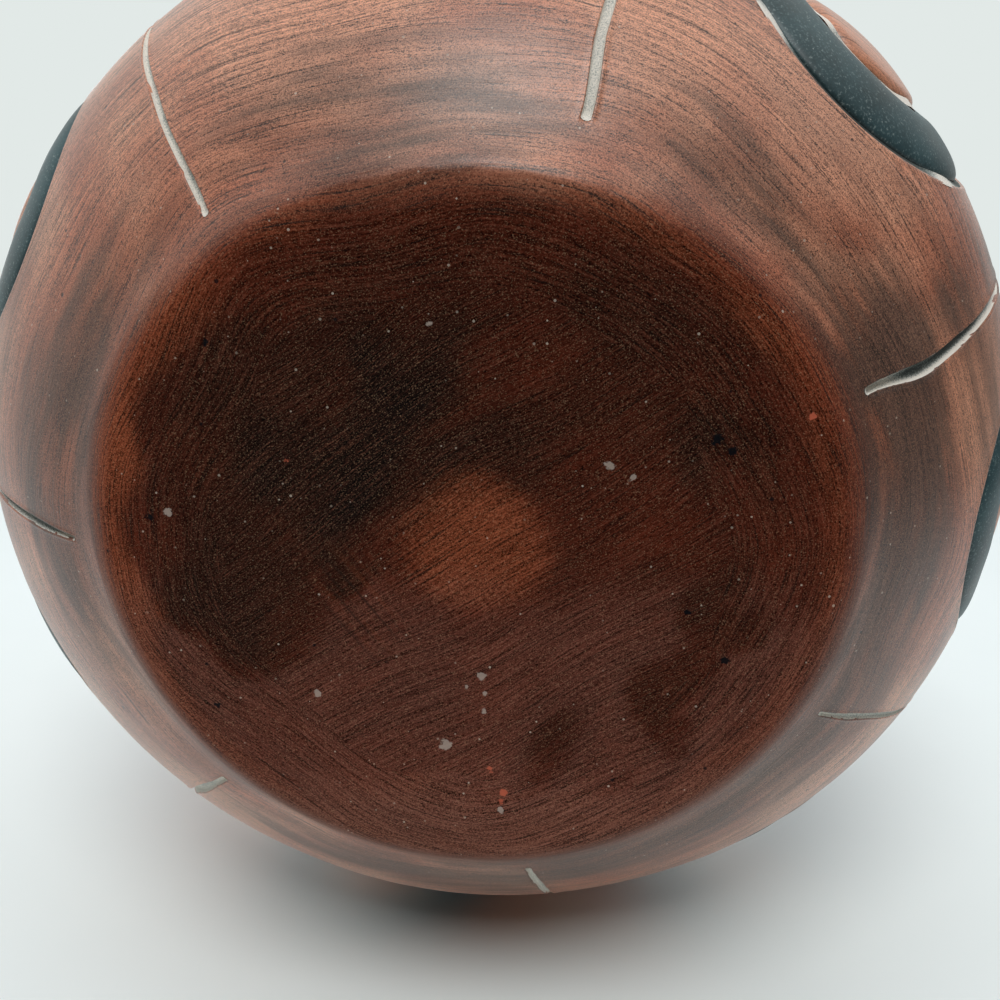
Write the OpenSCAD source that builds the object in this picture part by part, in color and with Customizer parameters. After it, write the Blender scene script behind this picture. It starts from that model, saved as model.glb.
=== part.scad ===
// Globular terracotta vase, hand built from a pad and coil courses, carved and inlaid with slip.
// Millimetres. The vase stands on z = 0 and turns about the z axis.

/* [Body] */
// Radius of the belly at its widest
belly_r = 100; // [90:1:110]
// Height of the widest part above the table
belly_z = 58.5; // [56:0.5:62]
// Radius of the belly's own curve, seen from the side
belly_arc = 53.5; // [51:0.5:56]
// Thickness of the clay wall
wall = 6; // [5:0.5:7]

/* [Lower wall and foot] */
// Radius of the flatter curve below the belly
low_arc = 80; // [74:1:86]
// Angle below level where the belly hands over to the lower wall
low_turn = 45.7; // [45.2:0.1:47]
// Angle below level where the lower wall ends on the foot
foot_turn = 63.4; // [62:0.2:64.6]
// How far the foot stands inside the end of the wall
foot_step = 2.4; // [1.5:0.1:3.5]
// Radius of the rolled edge of the foot
foot_roll = 5; // [4:0.25:5.5]
// Thickness of the floor above the table
floor_h = 9; // [7:0.5:10]
// Radius of the hollow under the base
hollow_r = 49; // [40:1:50]
// Depth of the hollow under the base
hollow_h = 2.4; // [1:0.2:3]

/* [Shoulder, neck and rim] */
// Angle above level where the belly hands over to the shoulder
shoulder_turn = 28; // [24:1:32]
// Radius of the shoulder's curve
shoulder_arc = 95; // [88:1:102]
// Angle above level where the shoulder meets the neck
neck_turn = 69.6; // [67:0.2:71]
// Radius of the hollow curve of the neck
neck_arc = 15; // [12:0.5:18]
// Angle at which the flare of the neck stops
lip_turn = 112; // [106:1:120]
// Radius of the rolled rim
rim_roll_r = 4.4; // [4:0.1:5.2]
// How far the rim's centre stands past the end of the neck
rim_lift = 1.6; // [1:0.1:1.8]

/* [Carving] */
// Number of medallions, and of the lines between them
motif_count = 7; // [5:1:7]
// Turn of the first line about the vase, degrees
first_line = 0; // [0:0.5:51]
// Depth of the carving below the burnished wall
carve_depth = 1.3; // [1:0.1:1.8]
// Depth of white slip left in the bottom of the carving
slip_depth = 0.5; // [0.3:0.1:0.7]
// Radius of the cut around a medallion, as a share of the belly's own curve
medallion_share = 0.524; // [0.45:0.002:0.53]
// Angle below level of a medallion's middle
medallion_drop = 12; // [10.5:0.5:12.5]
// Radius of the terracotta boss in the middle
boss_r = 12.6; // [9:0.2:14]
// Width of the carved line around the band and around the boss
outline_w = 1.7; // [1.2:0.1:2.2]
// How far the band stands out of the wall
relief = 0.3; // [0.1:0.1:0.8]
// How far the middle of the boss stands out of the wall
boss_rise = 0.8; // [0.6:0.1:1.2]
// Radius of the ball that the boss is a cap of
boss_ball = 36; // [34:1:42]
// Width of the lines between medallions
line_w = 1.8; // [1.2:0.1:2.4]
// Width of a line at its two ends
line_tip_w = 0.8; // [0.5:0.1:1.1]
// Length over which a line narrows to its ends
line_taper = 9; // [5:1:14]
// Height of the lower end of a line above the end of the wall
line_start = 1.2; // [0.8:0.1:3]
// Height of the upper end of a line above the belly's widest part
line_end = 62; // [54:1:63]

/* [Hidden] */
$fn = 240;
motif_step = 360 / motif_count;
far = 2;
joint_pass = 2;

// Middles of the curves that make the outer side of the wall, each tangent to the next
belly_mid = [belly_r - belly_arc, belly_z];
low_mid = belly_mid - (low_arc - belly_arc) * [cos(low_turn), -sin(low_turn)];
shoulder_mid = belly_mid - (shoulder_arc - belly_arc) * [cos(shoulder_turn), sin(shoulder_turn)];
neck_mid = shoulder_mid + (shoulder_arc + neck_arc) * [cos(neck_turn), sin(neck_turn)];

// Ends of the scored joint between foot and wall
foot_out = low_mid + low_arc * [cos(foot_turn), -sin(foot_turn)];
foot_in = low_mid + (low_arc - wall) * [cos(foot_turn), -sin(foot_turn)];
foot_r = foot_out[0] - foot_step;

// Middle of the rolled rim, on the middle of the neck's wall
rim_mid = neck_mid + (neck_arc + wall / 2) * [cos(lip_turn), sin(lip_turn)]
    + rim_lift * [sin(lip_turn), -cos(lip_turn)];

// Radius of the ball that hollows the underside
hollow_ball = (hollow_r * hollow_r + hollow_h * hollow_h) / (2 * hollow_h);

// The cut around a medallion keeps its share of the belly's curve, and the band lies between the two outlines
medallion_r = belly_arc * medallion_share;
band_out = medallion_r - outline_w;
band_in = boss_r + outline_w;

WALL_NODES = ["base_pad", "lower_wall", "belly_wall", "shoulder_wall", "neck_collar", "rim_roll"];

function ray(length, angle) = length * [cos(angle), sin(angle)];

// Part of a ring between two radii and two angles, the section of one course of the wall
module course(mid, r_in, r_out, a0, a1) {
    reach = far * r_out;
    translate(mid)
        intersection() {
            difference() {
                circle(r = r_out);
                circle(r = r_in);
            }
            polygon([[0, 0], ray(reach, a0), ray(reach, (a0 + a1) / 2), ray(reach, a1)]);
        }
}

// The three courses of the round wall, between two depths, and past their joints by an angle
module low_course(under, over, past = 0) {
    course(low_mid, low_arc - under, low_arc + over, -foot_turn - past, past - low_turn);
}

module belly_course(under, over, past = 0) {
    course(belly_mid, belly_arc - under, belly_arc + over, -low_turn - past, shoulder_turn + past);
}

module shoulder_course(under, over, past = 0) {
    course(shoulder_mid, shoulder_arc - under, shoulder_arc + over, shoulder_turn - past, neck_turn + past);
}

// Turns a section through one motif's share of the vase, centred on x
module share(width) {
    rotate([0, 0, -width / 2])
        rotate_extrude(angle = width)
            children();
}

// Turns a section all the way round, starting on bare wall beside the first line
module turned_wall() {
    rotate([0, 0, first_line + motif_step * 0.1])
        rotate_extrude()
            children();
}

// A ring or disc standing square to the wall at the middle of a medallion
module medallion_tube(r_in, r_out) {
    translate([belly_mid[0], 0, belly_mid[1]])
        rotate([0, 90 + medallion_drop, 0])
            translate([0, 0, belly_arc * 0.6])
                difference() {
                    cylinder(h = belly_arc * 0.5, r = r_out);
                    if (r_in > 0)
                        translate([0, 0, -1])
                            cylinder(h = belly_arc * 0.5 + 2, r = r_in);
                }
}

// A piece of medallion number i, between two radii and two depths of the wall
module medallion_piece(i, r_in, r_out, under, over) {
    rotate([0, 0, first_line + (i - 0.5) * motif_step])
        intersection() {
            share(motif_step)
                belly_course(under, over);
            medallion_tube(r_in, r_out);
        }
}

module line_outline() {
    low = foot_out[1] + line_start;
    high = belly_z + line_end;
    tip = line_tip_w / 2;
    side = line_w / 2;
    polygon([
        [-tip, low], [tip, low],
        [side, low + line_taper], [side, high - line_taper],
        [tip, high], [-tip, high],
        [-side, high - line_taper], [-side, low + line_taper]
    ]);
}

// Keeps what lies in stem line number i of a section that is turned through a small angle
module stem_piece(i) {
    rotate([0, 0, first_line + (i - 1) * motif_step])
        intersection() {
            share(8)
                children();
            rotate([90, 0, 90])
                linear_extrude(height = belly_r + 10)
                    line_outline();
        }
}

module stem_cuts() {
    for (i = [1 : motif_count])
        stem_piece(i)
            children();
}

module base_pad() {
    roll_mid = [foot_r - foot_roll, foot_roll];
    color("#7a3b28")
        rotate_extrude()
            difference() {
                union() {
                    square([roll_mid[0], foot_in[1]]);
                    translate(roll_mid)
                        intersection() {
                            circle(r = foot_roll);
                            translate([0, -foot_roll])
                                square([foot_roll, foot_roll]);
                        }
                    polygon([roll_mid, [foot_r, foot_roll], foot_out, foot_in, [roll_mid[0], foot_in[1]]]);
                }
                intersection() {
                    translate(low_mid)
                        circle(r = low_arc - wall);
                    translate([0, floor_h])
                        square([belly_r, belly_r]);
                }
                translate([0, floor_h])
                    square([low_mid[0], belly_r]);
                translate([0, hollow_h - hollow_ball])
                    circle(r = hollow_ball, $fn = 720);
            }
}

module lower_wall() {
    color("#a5614a")
        difference() {
            turned_wall()
                low_course(wall, 0);
            stem_cuts()
                low_course(carve_depth, 2, joint_pass);
        }
}

module belly_wall() {
    color("#a5614a")
        difference() {
            turned_wall()
                belly_course(wall, 0);
            stem_cuts()
                belly_course(carve_depth, 2, joint_pass);
            for (i = [1 : motif_count])
                medallion_piece(i, 0, medallion_r, carve_depth, 2);
        }
}

module shoulder_wall() {
    color("#a5614a")
        difference() {
            turned_wall()
                shoulder_course(wall, 0);
            stem_cuts()
                shoulder_course(carve_depth, 2, joint_pass);
        }
}

module neck_collar() {
    color("#a5614a")
        rotate_extrude()
            course(neck_mid, neck_arc, neck_arc + wall, lip_turn, 180 + neck_turn);
}

module rim_roll() {
    color("#9b5540")
        rotate_extrude()
            translate(rim_mid)
                difference() {
                    circle(r = rim_roll_r);
                    rotate([0, 0, lip_turn])
                        translate([-rim_roll_r * 2, rim_lift])
                            square([rim_roll_r * 4, rim_roll_r * 2]);
                }
}

module black_band(i) {
    color("#2b3436")
        medallion_piece(i, band_in, band_out, carve_depth, relief);
}

// A round plug with a domed end, standing square to the wall at the middle of a medallion
module boss_plug() {
    translate([belly_mid[0], 0, belly_mid[1]])
        rotate([0, 90 + medallion_drop, 0])
            rotate_extrude()
                intersection() {
                    translate([0, belly_arc + boss_rise - boss_ball])
                        circle(r = boss_ball);
                    translate([0, belly_arc * 0.6])
                        square([boss_r, belly_arc * 0.5]);
                }
}

module boss(i) {
    color("#a85a42")
        rotate([0, 0, first_line + (i - 0.5) * motif_step])
            intersection() {
                share(motif_step)
                    belly_course(carve_depth, boss_rise + 1);
                boss_plug();
            }
}

module white_outer_line(i) {
    color("#d6d2c4")
        medallion_piece(i, band_out, medallion_r, carve_depth, slip_depth - carve_depth);
}

module white_inner_line(i) {
    color("#d6d2c4")
        medallion_piece(i, boss_r, band_in, carve_depth, slip_depth - carve_depth);
}

module white_stem_line(i) {
    color("#d6d2c4")
        stem_piece(i) {
            low_course(carve_depth, slip_depth - carve_depth);
            belly_course(carve_depth, slip_depth - carve_depth);
            shoulder_course(carve_depth, slip_depth - carve_depth);
        }
}

base_pad();
lower_wall();
belly_wall();
shoulder_wall();
neck_collar();
rim_roll();
for (i = [1 : motif_count]) {
    black_band(i);
    boss(i);
    white_outer_line(i);
    white_inner_line(i);
    white_stem_line(i);
}
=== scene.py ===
import math

import bpy
import numpy as np
from mathutils import Matrix, Vector


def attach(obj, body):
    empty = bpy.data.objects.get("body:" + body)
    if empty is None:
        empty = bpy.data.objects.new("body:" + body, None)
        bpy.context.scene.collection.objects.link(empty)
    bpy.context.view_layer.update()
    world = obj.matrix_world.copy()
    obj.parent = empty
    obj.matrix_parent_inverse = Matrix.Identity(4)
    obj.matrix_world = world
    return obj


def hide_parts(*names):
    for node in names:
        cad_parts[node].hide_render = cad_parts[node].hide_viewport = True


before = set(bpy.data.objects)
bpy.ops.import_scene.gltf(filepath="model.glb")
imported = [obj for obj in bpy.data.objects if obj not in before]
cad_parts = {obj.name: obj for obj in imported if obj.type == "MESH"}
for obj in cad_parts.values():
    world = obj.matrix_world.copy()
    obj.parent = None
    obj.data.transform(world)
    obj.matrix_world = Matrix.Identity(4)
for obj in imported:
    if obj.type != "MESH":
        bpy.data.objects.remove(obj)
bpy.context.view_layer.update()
scene = bpy.context.scene
scene.view_settings.view_transform = "Standard"
mm = 0.001
print("frame loaded:", len(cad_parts), "solids")


def linear(hexText):  # sRGB hex to linear colour
    parts = [int(hexText[i:i + 2], 16) / 255 for i in (1, 3, 5)]
    return tuple(p / 12.92 if p <= 0.04045 else ((p + 0.055) / 1.055) ** 2.4 for p in parts) + (1.0,)


def smooth(low, high, x):  # soft step from 0 to 1
    t = np.clip((x - low) / (high - low), 0, 1)
    return t * t * (3 - 2 * t)


def hump(x, wide, power=2):  # 1 at nought, fading over a width on both sides
    return np.exp(-(x / wide) ** power)


def ripple(seed, size, *axes):  # seeded unevenness, about -1 to 1, in waves of a size in the axes' unit
    pick = np.random.default_rng(seed)
    total = 0
    for _ in range(9):
        way = pick.normal(size=len(axes))
        way *= 2 * math.pi / size * pick.uniform(0.6, 1.7) / np.linalg.norm(way)
        total = total + np.sin(sum(w * a for w, a in zip(way, axes)) + pick.uniform(0, 6.28)) / 2.6
    return total


def gridFaces(rows, cols, start=0, closeRows=False, closeCols=True):
    i = np.arange(rows if closeRows else rows - 1)[:, None]
    j = np.arange(cols if closeCols else cols - 1)[None, :]
    i1, j1 = (i + 1) % rows, (j + 1) % cols
    quads = [i * cols + j, i * cols + j1, i1 * cols + j1, i1 * cols + j]
    return start + np.stack([np.broadcast_to(q, (i.size, j.size)).ravel() for q in quads], axis=1)


# the pot's section, in millimetres and degrees, as the solids have it
pot = {
    "bellyR": 100.0, "bellyZ": 58.5, "bellyArc": 53.5, "wall": 6.0,
    "lowArc": 80.0, "lowTurn": 45.7, "footTurn": 63.4, "footStep": 2.4, "footRoll": 5.0,
    "floorH": 9.0, "hollowR": 49.0, "hollowH": 2.4,
    "shoulderTurn": 28.0, "shoulderArc": 95.0, "neckTurn": 69.6, "neckArc": 15.0, "lipTurn": 112.0,
    "rimRoll": 4.4, "rimLift": 1.6,
    "rimWrap": 52.0, "rimSeat": 8.0,  # how far the rim's coil wraps round and sits down over the neck
    # how far fingers rounded the corners, and how far along the section that reaches
    "skinSoft": 0.7, "footSoft": 3.6, "footReach": 7.0, "rimSoft": 1.1, "rimReach": 8.0,
    "fine": 0.25,  # step along the drawn section
}
carving = {
    "count": 7, "depth": 1.3, "medallionR": 28.03, "drop": 12.0, "bossR": 12.6, "cut": 1.7,
    "bandRise": 0.38, "bossRise": 0.85, "lineW": 1.8, "taper": 9.0, "lineEnd": 62.0,
    # a line's share of the depth, where it swells, and the burr that the tool throws up beside it
    "lineDeep": 0.85, "swellAt": 14.0, "swellLong": 9.0, "burr": 0.13, "burrOut": 0.22, "burrWide": 0.24,
}


def turnTo(angle):
    return np.array([math.cos(math.radians(angle)), math.sin(math.radians(angle))])


def arcOf(mid, radius, a0, a1):
    n = max(3, int(abs(a1 - a0) * math.pi / 180 * radius / pot["fine"]))
    a = np.radians(np.linspace(a0, a1, n))
    return np.stack([mid[0] + radius * np.cos(a), mid[1] + radius * np.sin(a)], axis=1)


bellyMid = np.array([pot["bellyR"] - pot["bellyArc"], pot["bellyZ"]])
lowMid = bellyMid - (pot["lowArc"] - pot["bellyArc"]) * turnTo(-pot["lowTurn"])
shoulderMid = bellyMid - (pot["shoulderArc"] - pot["bellyArc"]) * turnTo(pot["shoulderTurn"])
neckMid = shoulderMid + (pot["shoulderArc"] + pot["neckArc"]) * turnTo(pot["neckTurn"])
footOut = lowMid + pot["lowArc"] * turnTo(-pot["footTurn"])
footR = footOut[0] - pot["footStep"]
rimMid = (neckMid + (pot["neckArc"] + pot["wall"] / 2) * turnTo(pot["lipTurn"])
          + pot["rimLift"] * turnTo(pot["lipTurn"] - 90))


def buildSection():
    wall, fine, wrap = pot["wall"], pot["fine"], pot["rimWrap"]
    ball = (pot["hollowR"] ** 2 + pot["hollowH"] ** 2) / (2 * pot["hollowH"])
    r = np.linspace(0, pot["hollowR"], 200)
    hollow = np.stack([r, pot["hollowH"] - ball + np.sqrt(ball ** 2 - r ** 2)], axis=1)
    roll = arcOf((footR - pot["footRoll"], pot["footRoll"]), pot["footRoll"], -90, 0)
    lower = arcOf(lowMid, pot["lowArc"], -pot["footTurn"], -pot["lowTurn"])
    belly = arcOf(bellyMid, pot["bellyArc"], -pot["lowTurn"], pot["shoulderTurn"])
    shoulder = arcOf(shoulderMid, pot["shoulderArc"], pot["shoulderTurn"], pot["neckTurn"])
    neck = arcOf(neckMid, pot["neckArc"], 180 + pot["neckTurn"], pot["lipTurn"])
    neckIn = arcOf(neckMid, pot["neckArc"] + wall, pot["lipTurn"], 180 + pot["neckTurn"])
    bead = arcOf(rimMid, pot["rimRoll"], pot["lipTurn"] - 180 - wrap, pot["lipTurn"] + wrap)
    neck, neckIn = [n[np.linalg.norm(n - rimMid, axis=1) > pot["rimRoll"]] for n in (neck, neckIn)]
    shoulderIn = arcOf(shoulderMid, pot["shoulderArc"] - wall, pot["neckTurn"], pot["shoulderTurn"])
    bellyIn = arcOf(bellyMid, pot["bellyArc"] - wall, pot["shoulderTurn"], -pot["lowTurn"])
    lowerIn = arcOf(lowMid, pot["lowArc"] - wall, -pot["lowTurn"], -80)
    lowerIn = lowerIn[lowerIn[:, 1] > pot["floorH"]]  # the floor cuts it off
    line = np.concatenate([hollow, roll, lower, belly, shoulder, neck, bead, neckIn, shoulderIn, bellyIn,
                           lowerIn, np.array([[0.0, pot["floorH"]]])])
    line = line[np.r_[True, np.linalg.norm(np.diff(line, axis=0), axis=1) > 1e-6]]
    length = np.r_[0, np.cumsum(np.linalg.norm(np.diff(line, axis=0), axis=1))]
    run = np.arange(0, length[-1], fine)
    line = np.stack([np.interp(run, length, line[:, k]) for k in (0, 1)], axis=1)

    def soften(sigma):
        n = int(4 * sigma / fine) + 1
        w = np.exp(-0.5 * (np.arange(-n, n + 1) * fine / sigma) ** 2)
        w /= w.sum()
        mirror = np.array([-1.0, 1.0])
        padded = np.concatenate([line[n:0:-1] * mirror, line, line[-2:-n - 2:-1] * mirror])
        return np.stack([np.convolve(padded[:, k], w, "valid") for k in (0, 1)], axis=1)

    footCorner = run[np.argmin(np.linalg.norm(line - footOut, axis=1))] - 2
    nearFoot = hump(run - footCorner, pot["footReach"], 4)[:, None]
    nearRim = hump(np.linalg.norm(line - rimMid, axis=1), pot["rimReach"], 4)[:, None]
    soft = soften(pot["skinSoft"])
    soft = soft + (soften(pot["footSoft"]) - soft) * nearFoot
    soft = soft + (soften(pot["rimSoft"]) - soft) * nearRim
    soft[:, 1] = np.maximum(soft[:, 1], 0)
    way = np.gradient(soft, axis=0)
    way /= np.linalg.norm(way, axis=1)[:, None]
    return run, soft, np.stack([way[:, 1], -way[:, 0]], axis=1)


sectionRun, sectionAt, sectionOut = buildSection()


def runAt(point, outer=True):  # where along the section a point of the drawing lies
    half = sectionRun < sectionRun[np.argmax(sectionAt[:, 1])]
    far = np.linalg.norm(sectionAt - np.asarray(point), axis=1) + np.where(half == outer, 0, 1e3)
    return sectionRun[np.argmin(far)]


# where one course of clay sits on the next: middle and radius of the arc, and the turn on it
joints = [(lowMid, pot["lowArc"], -pot["footTurn"]), (bellyMid, pot["bellyArc"], -pot["lowTurn"]),
          (bellyMid, pot["bellyArc"], pot["shoulderTurn"]), (shoulderMid, pot["shoulderArc"], pot["neckTurn"])]
footRun, lowRun, shoulderRun, neckRun = [runAt(m + r * turnTo(a)) for m, r, a in joints]
footRunIn, lowRunIn, shoulderRunIn, neckRunIn = [runAt(m + (r - pot["wall"]) * turnTo(a), False)
                                                 for m, r, a in joints]
lipWay = turnTo(pot["lipTurn"] + pot["rimSeat"])
lipRun = runAt(neckMid + pot["neckArc"] * lipWay)
lipRunIn = runAt(neckMid + (pot["neckArc"] + pot["wall"]) * lipWay, False)
bellyRun = runAt((pot["bellyR"], pot["bellyZ"]))
endRun = sectionRun[-1]
print("section drawn:", len(sectionRun), "steps")


# the potter's hand: slow unevenness, cut lines and medallion beds
step = 360 / carving["count"]
# each line: start above the foot and stray sideways at foot, middle and belly in mm, then its shares of
# width and depth, swelling, painted shade in the bottom of the cut (its dark core) and width of the tip,
# where that painted shade begins and how far to one side it lies
lineKeys = ("start", "foot", "mid", "belly", "wide", "deep", "swell", "shadeCore", "tip", "bare", "side")
lineHand = [dict(zip(lineKeys, row)) for row in (
    (0.4, -0.2, 1.9, 0.4, 1.0, 1.1, 0.35, 0.95, 0.6, 4.0, 0.25),
    (2.6, -0.8, -1.6, -2.4, 0.75, 0.55, 0.0, 0.2, 0.6, 1.5, 0.0),
    (3.3, 2.3, 1.7, 0.8, 0.85, 0.9, 0.1, 0.2, 0.7, 1.5, 0.1),
    (3.7, 2.4, 2.6, 2.2, 0.95, 1.0, 0.2, 0.2, 0.7, 1.5, -0.1),
    (3.3, -4.9, -4.5, -3.6, 0.85, 0.9, 0.1, 0.6, 0.6, 1.5, 0.1),
    (-1.0, -1.05, -0.8, 0.1, 0.68, 0.7, 0.0, 0.16, 0.95, 0.5, -0.3),
    (1.9, -1.1, -2.05, -2.7, 0.92, 0.8, 0.0, 0.12, 0.95, 0.5, 0.0))]
# each medallion: shift across and up and change of radius in mm, then where it kept white slip, in degrees
medallionKeys = ("across", "up", "grow", "white")
medallionHand = [dict(zip(medallionKeys, row)) for row in (
    (-0.5, -0.5, 0.4, ((-48, 16), (80, 40))), (0.4, 2.0, -1.2, ((-120, 30), (20, 30))),
    (-0.6, 1.4, -0.5, ((-60, 25), (140, 35))), (0.3, 2.0, -1.5, ((-100, 30), (60, 25))),
    (1.3, 2.0, -0.6, ((100, 40),)), (-0.4, 0.2, 0.0, ((-70, 25), (170, 30))),
    (-1.2, 0.2, 0.7, ((-130, 13), (-40, 12), (75, 30))))]
medallionWave = np.random.default_rng(21).uniform(-1, 1, size=(carving["count"], 4))
# waves in the wall: height in mm, lobes around the pot, start, and twist with each mm up the wall
wallWaves = ((0.22, 2, 0.7, 0), (0.14, 3, 2.1, 1 / 60), (0.10, 5, 0, -1 / 33), (0.06, 8, 0, 1 / 21))
lineLow = [runAt(footOut) + hand["start"] for hand in lineHand]
lineHigh = runAt(shoulderMid + pot["shoulderArc"] * turnTo(math.degrees(math.asin(
    (pot["bellyZ"] + carving["lineEnd"] - shoulderMid[1]) / pot["shoulderArc"]))))


def radiusAt(run):
    return np.interp(run, sectionRun, sectionAt[:, 0])


def lean(i, run):  # how far line i strays from its place, in degrees
    hand, low = lineHand[i], lineLow[i]
    stray = (hand["foot"] + (hand["mid"] - hand["foot"]) * smooth(low, low + 15, run)
             + (hand["belly"] - hand["mid"]) * smooth(low + 10, bellyRun, run) + 0.05 * ripple(40 + i, 24, run))
    return np.degrees(stray * (1 - smooth(neckRun - 40, neckRun - 8, run)) / np.maximum(radiusAt(run), 20))


def lineHalf(i, run):  # half the width of line i
    hand = lineHand[i]
    low, high = run - lineLow[i], lineHigh - run
    share = np.minimum(hand["tip"] + (1 - hand["tip"]) * np.clip(low / carving["taper"], 0, 1),
                       0.45 + 0.55 * np.clip(high / carving["taper"], 0, 1))
    swell = 1 + hand["swell"] * hump(low - carving["swellAt"], carving["swellLong"])
    half = carving["lineW"] / 2 * hand["wide"] * share * swell
    return half * (1 + 0.04 * ripple(60 + i, 17, run)) * smooth(-0.4, 0.25, np.minimum(low, high))


def lineDepth(i, run):
    ends = np.minimum(run - lineLow[i], lineHigh - run)
    return carving["depth"] * carving["lineDeep"] * lineHand[i]["deep"] * smooth(-0.3, 1.6, ends)


def lineBed(share):  # the tool's round nose: depth by the share of the way from middle to edge
    return np.clip(1 - share ** 4, 0, 1) ** 0.6


def lineCut(theta, run):  # depth of the cut lines, with their burrs
    cut = np.zeros(np.broadcast(theta, run).shape)
    for i in range(carving["count"]):
        off = (theta - i * step - lean(i, run) + 180) % 360 - 180
        across = np.abs(np.radians(off)) * radiusAt(run)
        half = np.maximum(lineHalf(i, run), 1e-4)
        deep = lineDepth(i, run)
        burr = carving["burr"] * hump(across - half - carving["burrOut"], carving["burrWide"])
        burr = burr * smooth(0.05, 0.5, half) * smooth(0.1, 0.5, deep)
        cut = cut + np.where(across < half + 2, burr - deep * lineBed(across / half), 0)
    return cut


def toDisc(theta, run, i):  # place on medallion i, looking square at it: across and up, in mm
    local = np.radians(theta - (i + 0.5) * step)
    share = (run - lowRun) / (shoulderRun - lowRun)
    angle = np.radians(-pot["lowTurn"] + share * (pot["lowTurn"] + pot["shoulderTurn"]))
    r = bellyMid[0] + pot["bellyArc"] * np.cos(angle)
    tilt = math.radians(carving["drop"])
    across = r * np.sin(local)
    up = (r * np.cos(local) - bellyMid[0]) * math.sin(tilt) + pot["bellyArc"] * np.sin(angle) * math.cos(tilt)
    return across - medallionHand[i]["across"], up - medallionHand[i]["up"]


def fromDisc(across, up, i):  # the way back: a place on the disc to the turn and the run
    across, up = across + medallionHand[i]["across"], up + medallionHand[i]["up"]
    tilt = math.radians(carving["drop"])
    deep = np.full(np.broadcast(across, up).shape, pot["bellyR"] / 2)
    for _ in range(14):  # steps closer to the belly's curve each time
        x = bellyMid[0] + up * math.sin(tilt) + deep * math.cos(tilt)
        z = up * math.cos(tilt) - deep * math.sin(tilt)
        r = np.hypot(x, across)
        miss = (r - bellyMid[0]) ** 2 + z ** 2 - pot["bellyArc"] ** 2
        slope = 2 * (r - bellyMid[0]) * x / r * math.cos(tilt) - 2 * z * math.sin(tilt)
        deep = deep - miss / slope
    angle = np.degrees(np.arctan2(z, r - bellyMid[0]))
    run = lowRun + (angle + pot["lowTurn"]) / (pot["lowTurn"] + pot["shoulderTurn"]) * (shoulderRun - lowRun)
    return np.degrees(np.arctan2(across, x)) + (i + 0.5) * step, run


def discShape(i, phi):  # hand-cut circles are never quite round, nor of one size
    a = medallionWave[i]
    uneven = 1 + 0.007 * a[0] * np.sin(2 * phi + 3 * a[1]) + 0.005 * a[2] * np.sin(3 * phi + 3 * a[3])
    return uneven * (1 + medallionHand[i]["grow"] / carving["medallionR"])


lipSteps = np.array([  # distance out from the medallion's cut edge and height of the clay there
    (-99, -1.3), (-1.7, -1.3), (-1.1, -1.22), (-0.8, -1.12), (-0.55, -0.9), (-0.35, -0.6), (-0.18, -0.32),
    (-0.05, -0.14), (0.1, -0.03), (0.3, 0.06), (0.6, 0.07), (1.0, 0.03), (1.6, 0.0), (99, 0.0)])


def discCut(theta, run):  # depth of the medallions' beds, with their rolled lips
    cut = np.zeros(np.broadcast(theta, run).shape)
    for i in range(carving["count"]):
        local = (theta - (i + 0.5) * step + 180) % 360 - 180
        near = (np.abs(local) < 24) & (run > lowRun - 2) & (run < shoulderRun)  # no medallion reaches further
        across, up = toDisc(local + (i + 0.5) * step, run, i)
        away = np.hypot(across, up) / discShape(i, np.arctan2(up, across))
        cut = cut + np.where(near, np.interp(away - carving["medallionR"], lipSteps[:, 0], lipSteps[:, 1]), 0)
    return cut


def handForm(theta, run):  # a pot beaten and scraped by hand is never quite round
    t = np.radians(theta)
    form = sum(high * np.sin(lobes * t + start + run * twist) for high, lobes, start, twist in wallWaves)
    form = form + 0.05 * np.sin(run / 5.1 + 2 * np.sin(t))  # scraping rings
    return form * smooth(footRun - 4, footRun + 14, run) * (1 - 0.6 * smooth(neckRun, lipRun, run))


def clayAt(theta, run, height):  # a point of the skin, raised along the skin's own normal
    r, z = [np.interp(run, sectionRun, sectionAt[:, k]) for k in (0, 1)]
    nr, nz = [np.interp(run, sectionRun, sectionOut[:, k]) for k in (0, 1)]
    r, z, t = r + height * nr, z + height * nz, np.radians(theta)
    return np.stack(np.broadcast_arrays(r * np.cos(t), r * np.sin(t), z), axis=-1)


def outerClay(theta, run):
    return clayAt(theta, run, handForm(theta, run) + lineCut(theta, run) + discCut(theta, run))


washAndShadingMarks = {
    # patches of thicker and thinner brown wash: share, turn and width in degrees; the one at 106 is painted
    # shade on the side that lies on the table, the one at 4 painted shade on one side, the one at 165 a painted
    # sheen
    "patches": ((-0.05, 286, 14), (-0.26, 312, 12), (0.2, 4, 30), (0.18, 357, 5), (-0.05, 342, 13),
                (0.14, 224, 14), (0.14, 106, 28), (-0.1, 165, 28), (-0.22, 248, 22)),
    # the same, with the run from and to which they come in
    "higher": ((-0.2, 348, 13, lowRun - 6, lowRun + 6), (-0.16, 280, 14, footRun + 14, footRun + 26)),
    "bellyRubbed": 0.28,  # less wash on the belly
    "overFoot": (7, 292, 38),  # how far the wash ran over the foot in mm, at which turn, how widely
}


def nearTurn(theta, turn, wide):  # 1 at a turn about the pot, fading over a width in degrees
    return hump(((theta - turn + 180) % 360) - 180, wide)


def underAt(theta, run):  # 1 on the underside, 0 on the wall
    far, turn, wide = washAndShadingMarks["overFoot"]
    return 1 - smooth(-12, 5, run - footRun + far * nearTurn(theta, turn, wide))


def washAndShadingAt(theta, run):  # where the brown wash lies thicker or thinner, and where shade and sheen are painted in as more and less wash
    wash = sum(share * nearTurn(theta, turn, wide) for share, turn, wide in washAndShadingMarks["patches"])
    for share, turn, wide, low, high in washAndShadingMarks["higher"]:
        wash = wash + share * nearTurn(theta, turn, wide) * smooth(low, high, run)
    onBelly = smooth(lowRun - 14, lowRun - 2, run) * (1 - smooth(bellyRun, shoulderRun, run))
    return wash - washAndShadingMarks["bellyRubbed"] * onBelly


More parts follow.
